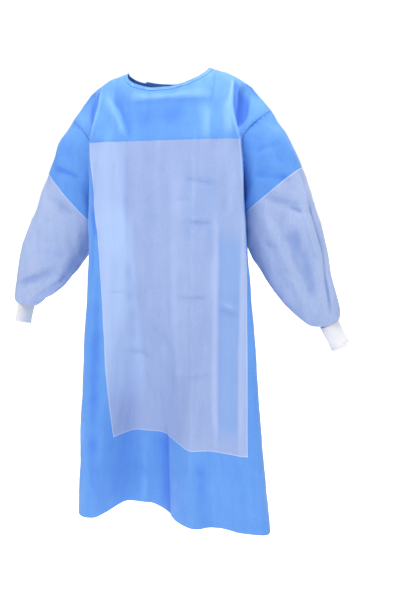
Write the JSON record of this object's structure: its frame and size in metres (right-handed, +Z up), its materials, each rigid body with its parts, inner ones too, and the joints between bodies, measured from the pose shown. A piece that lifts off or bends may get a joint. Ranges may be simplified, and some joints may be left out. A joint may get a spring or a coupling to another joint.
{
  "type": "surgical gown",
  "caption": "Reinforced surgical gown in its worn, hollow form: long sleeves, knitted cuffs, laid-on front panel, back that wraps over and closes at the neck.",
  "frame": {"origin": "midway between the two neck points, on the shoulder line, where the wearer's shoulders hold the gown", "axes": "+Z up along the gown's length, the front faces -Y, +X towards the wearer's left"},
  "size_m": [0.9298, 0.389, 1.1668],
  "materials": {
    "body": "matt embossed nonwoven, mid blue",
    "reinforcement": "matt laminated nonwoven, pale lilac blue",
    "cuff": "matt rib knit, white",
    "closure": "hook-and-loop tape, dark blue"
  },
  "bodies": {
    "root": {"front": "body", "back_left": "body", "back_right": "body", "front_panel": "reinforcement", "upper_sleeve_left": "body", "upper_sleeve_right": "body", "lower_sleeve_left": "reinforcement", "lower_sleeve_right": "reinforcement", "cuff_left": "cuff", "cuff_right": "cuff", "neck_binding": "body", "neck_tab": "closure"}
  },
  "joints": []
}
